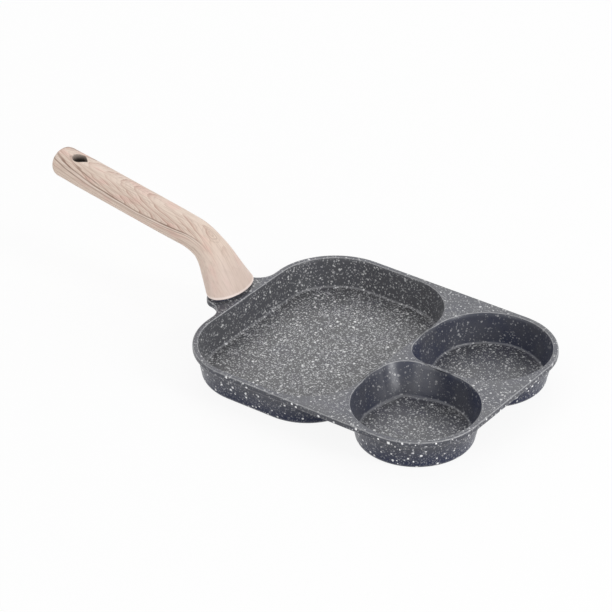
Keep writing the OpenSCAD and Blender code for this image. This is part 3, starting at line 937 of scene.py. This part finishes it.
def specks(cell_mm, most, size, cover, bunching=True):
    """Dots in a share of the cells; most is the share where the cover is 1 and the dots bunch."""
    if bunching:
        most = product(add, bunched, most)
    cells = add("TexVoronoi", {"Vector": speck_place, "Scale": 1 / MM / cell_mm}).outputs
    chance = add("SeparateColor", {"Color": cells["Color"]}).outputs
    kept = maths(add, "LESS_THAN", chance[0], product(add, cover, most))
    radius = between(add, chance[1], 0.0, 1.0, size * 0.5, size)
    dot = between(add, maths(add, "DIVIDE", cells["Distance"], radius), 1.0, 0.7)
    return product(add, dot, between(add, cover, 0.2, 0.8, 0.3, 1.0), kept), chance[2]


# Bluish dust, fine dust, grains and flecks, each with its darkest and its lightest tone
layers = [
    (specks(1.5, 0.9, 0.6, outside), (0.05, 0.054, 0.08, 1), (0.22, 0.225, 0.255, 1)),
    (specks(1.3, 0.8, 0.62, dust, bunching=False), (0.14, 0.141, 0.148, 1), (0.53, 0.533, 0.545, 1)),
    (specks(2.4, 0.6, 0.42, dust), (0.38, 0.382, 0.39, 1), (0.86, 0.86, 0.86, 1)),
    (specks(3.8, 0.55, 0.34, flecks), (0.75, 0.75, 0.76, 1), (1.0, 1.0, 1.0, 1)),
]
raised = 0.0
for (dots, tone), darker, lighter in layers:
    coat = mix(add, dots, coat, mix(add, tone, darker, lighter))
    raised = maths(add, "MAXIMUM", raised, dots)
print("layers of specks:", len(layers))

# %% Rub the edges pale with a painted highlight, and give the coat its gloss
RUB_HIGHLIGHT_TONE = (0.43, 0.432, 0.445, 1)
patchy = between(add, noise(add, pan_place, 260.0, 3.0), 0.3, 0.7, 0.45, 1.0)
# Pale rubbed edges with a painted highlight, and a painted highlight line on the floor rounds
coat = mix(add, product(add, patchy, 0.85, rub_and_highlight), coat, RUB_HIGHLIGHT_TONE)
skin_grain = noise(add, pan_place, 1400.0)
height = maths(add, "ADD", product(add, raised, 0.6), skin_grain)
rough, rougher = between(add, dust, 0.1, 0.9, 0.22, 0.36), between(add, skin_grain, 0.3, 0.7, 0.0, 0.1)
connect(shader, {
    "Base Color": coat, "Roughness": maths(add, "ADD", rough, rougher),
    "Specular IOR Level": between(add, flecks, 0.82, 1.0, 0.5, 0.16),
    "Normal": bump(add, height, 0.2, 0.2 * MM)})
dress(pan.data, coating)
tally(coating)

# %% [markdown]
# ## The wood look
# The handle is moulded plastic with a printed beech grain under a satin lacquer. Where a board's surface cuts
# the tree's growth rings, long arches appear. Rings could be cut out of a real three-dimensional wood, but
# arches are easier to place when they are drawn flat: the length along the handle plus a share of the squared
# sideways distance is the same all along one arch. That number, bent by soft noise and cut into equal steps,
# gives arches whose tops point at the handle's tip.

# %% Draw the arches of the upper print
CORE_Y, ARCH_SHARE, ARCH_START, ARCH_STEP, HAIR_STEP = 1.4 * MM, 200.0, 14.6 * MM, 16.2 * MM, 5.4 * MM
DRIFT = (34 * MM, 8 * MM, 5 * MM)
wood, shader, add, connect = material("printed_beech")
place = add("Attribute", attribute_name="straight_place").outputs["Vector"]


def streaks(along, across, detail=2.0, rough=0.5, output="Fac"):
    """A noise with that many waves in a metre along and across the handle."""
    return noise(add, vectors(add, "MULTIPLY", place, (along, across, across)), 1.0, detail, rough, output)


def growth_lines(distance, step, stops):
    """Cuts a distance into equal steps and tones every step by the same ramp of (position, tone) stops."""
    node = add("ValToRGB", {"Fac": maths(add, "FRACT", maths(add, "DIVIDE", distance, step))})
    ramp = node.color_ramp.elements
    for stop, (position, tone) in zip(ramp, (stops[0], stops[-1])):
        stop.position, stop.color = position, (tone, tone, tone, 1)
    for position, tone in stops[1:-1]:
        ramp.new(position).color = (tone, tone, tone, 1)
    return node.outputs["Color"]


drifted = moved(add, place, streaks(13.0, 70.0, 3.0, 0.55, "Color"), DRIFT)
along_s, side_y, above_d = add("SeparateXYZ", {"Vector": drifted}).outputs[:3]
core_y = maths(add, "SUBTRACT", side_y, CORE_Y)
arches = maths(add, "ADD", along_s, product(add, core_y, core_y, ARCH_SHARE))
arches = maths(add, "SUBTRACT", arches, ARCH_START)
bands = growth_lines(arches, ARCH_STEP, [(0, 0), (0.4, 0), (0.75, 0.3), (0.93, 1), (0.985, 0.9), (1, 0)])
hairlines = growth_lines(arches, HAIR_STEP, [(0, 0), (0.6, 0), (0.86, 0.5), (0.95, 1), (1, 0.2)])
tally(wood)

# %% [markdown]
# ## Knot and seam
# A small knot sits at the bend: rings round one point, a little bent by noise. Along each side runs a dark
# seam, where the upper print meets the lower one, with a line above and one below it, and under it a thin
# light line that is a painted highlight. The seam is a shallow curve that hangs lowest at the handle's waist,
# and each line is drawn where the distance to such a curve is near nothing. Below the seam the lines lie
# close and straight, a little fanned out.

# %% Draw the knot
KNOT_MID, KNOT_SQUASH = (39.5 * MM, 0.4 * MM, 10.9 * MM), (0.7, 1.0, 1.0)
KNOT_BEND, KNOT_REACH, KNOT_CORE, KNOT_STEP = 2.2 * MM, 5.8 * MM, 3.6 * MM, 1.7 * MM
from_knot = vectors(add, "MULTIPLY", vectors(add, "SUBTRACT", place, KNOT_MID), KNOT_SQUASH)
from_knot = moved(add, from_knot, noise(add, from_knot, 260.0, output="Color"), [KNOT_BEND] * 3)
from_knot = add("VectorMath", {0: from_knot}, operation="LENGTH").outputs["Value"]
knot_share = between(add, from_knot, KNOT_REACH, KNOT_CORE, smooth=True)
knot_lines = growth_lines(from_knot, KNOT_STEP, [(0, 0.2), (0.45, 0.1), (0.72, 1), (0.88, 0.7), (1, 0.2)])
tally(wood)

# %% Draw the seam and the lines beside it
WAIST_S, WAIST_ABOVE, SEAM_BEND, SEAM_SOFT, HIGHLIGHT_BELOW_SEAM = 105 * MM, 3.4 * MM, 0.9, 0.2 * MM, 1 * MM


def on_length(start, end, first=0.0, last=1.0, smooth=False):
    """A number that goes from first to last between two lengths along the handle, in millimetres."""
    return between(add, along_s, start * MM, end * MM, first, last, smooth)


def stroke(distance, reach, core, strength=1.0):
    """A line where the distance is nothing: full up to its core, gone at its reach, in millimetres."""
    return between(add, maths(add, "ABSOLUTE", distance), reach * MM, core * MM, 0.0, strength, smooth=True)


from_waist = maths(add, "SUBTRACT", along_s, WAIST_S)
seam_d = maths(add, "ADD", WAIST_ABOVE, product(add, from_waist, from_waist, SEAM_BEND))
below_seam = maths(add, "SUBTRACT", seam_d, above_d)
lower_part = between(add, below_seam, -SEAM_SOFT, SEAM_SOFT)
fan = on_length(0, 190, 3.4 * MM, 2.5 * MM)
lower_lines = growth_lines(
    below_seam, fan, [(0, 1), (0.12, 0.5), (0.35, 0.05), (0.5, 0.5), (0.62, 0), (0.85, 0.3), (1, 1)])
to_lower = maths(add, "SUBTRACT", below_seam, on_length(60, 170, 1.4 * MM, 2.4 * MM))
to_upper = maths(add, "ADD", below_seam, on_length(110, 180, 0.8 * MM, 3.4 * MM))
seam = maths(add, "MAXIMUM", stroke(below_seam, 0.6, 0.15), stroke(to_lower, 0.5, 0.1, 0.8))
seam = maths(add, "MAXIMUM", seam, product(add, stroke(to_upper, 0.5, 0.1, 0.8), on_length(115, 135)))
on_side = on_length(36, 52, smooth=True)
# Painted highlight: a thin light line 1 mm below the seam
seam_highlight = stroke(maths(add, "SUBTRACT", below_seam, HIGHLIGHT_BELOW_SEAM), 0.6, 0.2)
tally(wood)

# %% [markdown]
# ## The print's colours
# Pale beech with pink patches lies under everything. The arches are warm brown, the fine lines darker, the
# seam darkest, and fine pores break them all up. The foot is plainer, and its lower edge carries a pale
# painted highlight. The print ends at the hanging hole, whose wall is painted dark as shade, darkest deep
# inside and lighter towards its round end as painted light.

# %% Colour the wood
PALE, PINKER, BLUSH = (0.80, 0.665, 0.555, 1), (0.77, 0.625, 0.535, 1), (0.80, 0.55, 0.475, 1)
FOOT, ARCH, SEAM_HIGHLIGHT_TONE = (0.72, 0.575, 0.505, 1), (0.54, 0.355, 0.285, 1), (0.90, 0.79, 0.71, 1)
LINE, SEAM, PORE = (0.36, 0.24, 0.185, 1), (0.25, 0.155, 0.115, 1), (0.47, 0.34, 0.27, 1)
patches = streaks(18.0, 90.0)
blush = between(add, streaks(45.0, 130.0, 1.0), 0.52, 0.68, smooth=True)
on_grip = on_length(20, 55, 0.15, 1.0, smooth=True)
upper_tone = product(add, hairlines, between(add, patches, 0.4, 0.62, 0.0, 0.55))
lower_tone = product(add, lower_lines, between(add, patches, 0.3, 0.7, 0.75, 0.45))
lines = product(add, mix(add, lower_part, upper_tone, lower_tone, "FLOAT"), on_grip)
lines = mix(add, knot_share, lines, product(add, knot_lines, 0.5), "FLOAT")
bands = product(add, bands, on_grip, maths(add, "SUBTRACT", 1.0, lower_part))
bands = product(add, bands, between(add, patches, 0.38, 0.58, 0.1, 1.0))
seam = product(add, seam, on_side, between(add, streaks(25.0, 300.0), 0.3, 0.6, 0.4, 1.0))
pores = streaks(50.0, 1000.0, 2.5, 0.65)
pored = product(add, between(add, pores, 0.48, 0.7, 0.0, 0.6), on_length(10, 50, 0.5, 1.0))

shade = mix(add, patches, PALE, PINKER)
for share, tone in (
        (product(add, blush, 0.6), BLUSH), (on_length(35, 10, 0.0, 0.7), FOOT), (bands, ARCH),
        (product(add, seam_highlight, on_side, 0.6), SEAM_HIGHLIGHT_TONE), (lines, LINE), (seam, SEAM), (pored, PORE)):
    shade = mix(add, share, shade, tone)
tally(wood)

# %% Paint a highlight on the foot's edge, and shade and light on the wall of the hole
FOOT_HIGHLIGHT_TONE, HOLE_SHADE_TONE, HOLE_LIT_TONE, SPOT = (
    (0.93, 0.80, 0.735, 1), (0.018, 0.015, 0.013, 1), (0.55, 0.46, 0.4, 1), (0.05, 0.042, 0.036, 1))
edge_top, edge_full, lit_before, lit_after = foot_z + 2.3, foot_z + 1.1, 2, 7
DARK_BELOW, DARK_FROM = 9.5 * MM, 5 * MM
above_table = add("SeparateXYZ", {"Vector": add("TexCoord").outputs["Object"]}).outputs[2]
# Painted highlight: a pale band along the foot's lower edge
foot_edge_highlight = between(add, above_table, edge_top * MM, edge_full * MM, smooth=True)
shade = mix(add, product(add, foot_edge_highlight, 0.9), shade, FOOT_HIGHLIGHT_TONE)
# The hole's wall: painted light towards its round end, painted shade towards its point
hole_light_and_shade = mix(add, on_length(hang_s - lit_before, hang_s + lit_after), HOLE_SHADE_TONE, HOLE_LIT_TONE)
# Painted shade: darker deeper inside the hole
hole_light_and_shade = mix(add, between(add, above_d, DARK_BELOW, DARK_FROM, 0.0, 0.8), hole_light_and_shade, HOLE_SHADE_TONE)
hole_light_and_shade = mix(add, product(add, pores, 0.3), hole_light_and_shade, SPOT)
hole_wall = add("Attribute", attribute_name="in_hole").outputs["Fac"]
shade = mix(add, between(add, hole_wall, 0.2, 0.6), shade, hole_light_and_shade)
height = maths(add, "ADD", product(add, seam, -0.8), product(add, pores, -0.5))
connect(shader, {
    "Base Color": shade, "Roughness": between(add, pores, 0.3, 0.7, 0.42, 0.54), "Specular IOR Level": 0.4,
    "Normal": bump(add, height, 0.35, 0.2 * MM)})
dress(handle.data, wood)
tally(wood)

# %% [markdown]
# ## Brass and steel
# The insert, the screw and its washers sit under the tab or inside the foot. They keep the frame's exact
# meshes. Turned metal shows fine circles round its axis: a noise that changes fast with the distance from
# the axis and hardly at all round it, in gloss and in relief. The colour is only a little cloudy.

# %% Make the two metals
def turned_metal(name, dark, light, rough):
    """Metal with fine circles round the screw's axis, between a dark and a light tone."""
    metal, shader, add, connect = material(name)
    place = add("TexCoord").outputs["Object"]
    from_axis = vectors(add, "SUBTRACT", place, (screw_x * MM, 0, 0))
    x, y, z = add("SeparateXYZ", {"Vector": from_axis}).outputs[:3]
    radius = maths(add, "SQRT", maths(add, "ADD", product(add, x, x), product(add, y, y)))
    circles = noise(add, add("CombineXYZ", {"X": radius, "Z": z}).outputs[0], 5200.0)
    connect(shader, {
        "Base Color": mix(add, noise(add, place, 260.0, 3.0), dark, light), "Metallic": 1.0,
        "Roughness": between(add, circles, 0.3, 0.7, rough, rough + 0.14),
        "Normal": bump(add, circles, 0.2, 0.05 * MM)})
    return metal


steel = turned_metal("zinc_steel", (0.5, 0.51, 0.53, 1), (0.68, 0.69, 0.7, 1), rough=0.26)
brass = turned_metal("turned_brass", (0.6, 0.43, 0.17, 1), (0.78, 0.58, 0.26, 1), rough=0.22)
for name in ("handle_screw", "lock_washer", "flat_washer", "threaded_insert"):
    metal = brass if name == "threaded_insert" else steel
    dress(nodes[name].data, metal)
    print(name, "gets", metal.name)
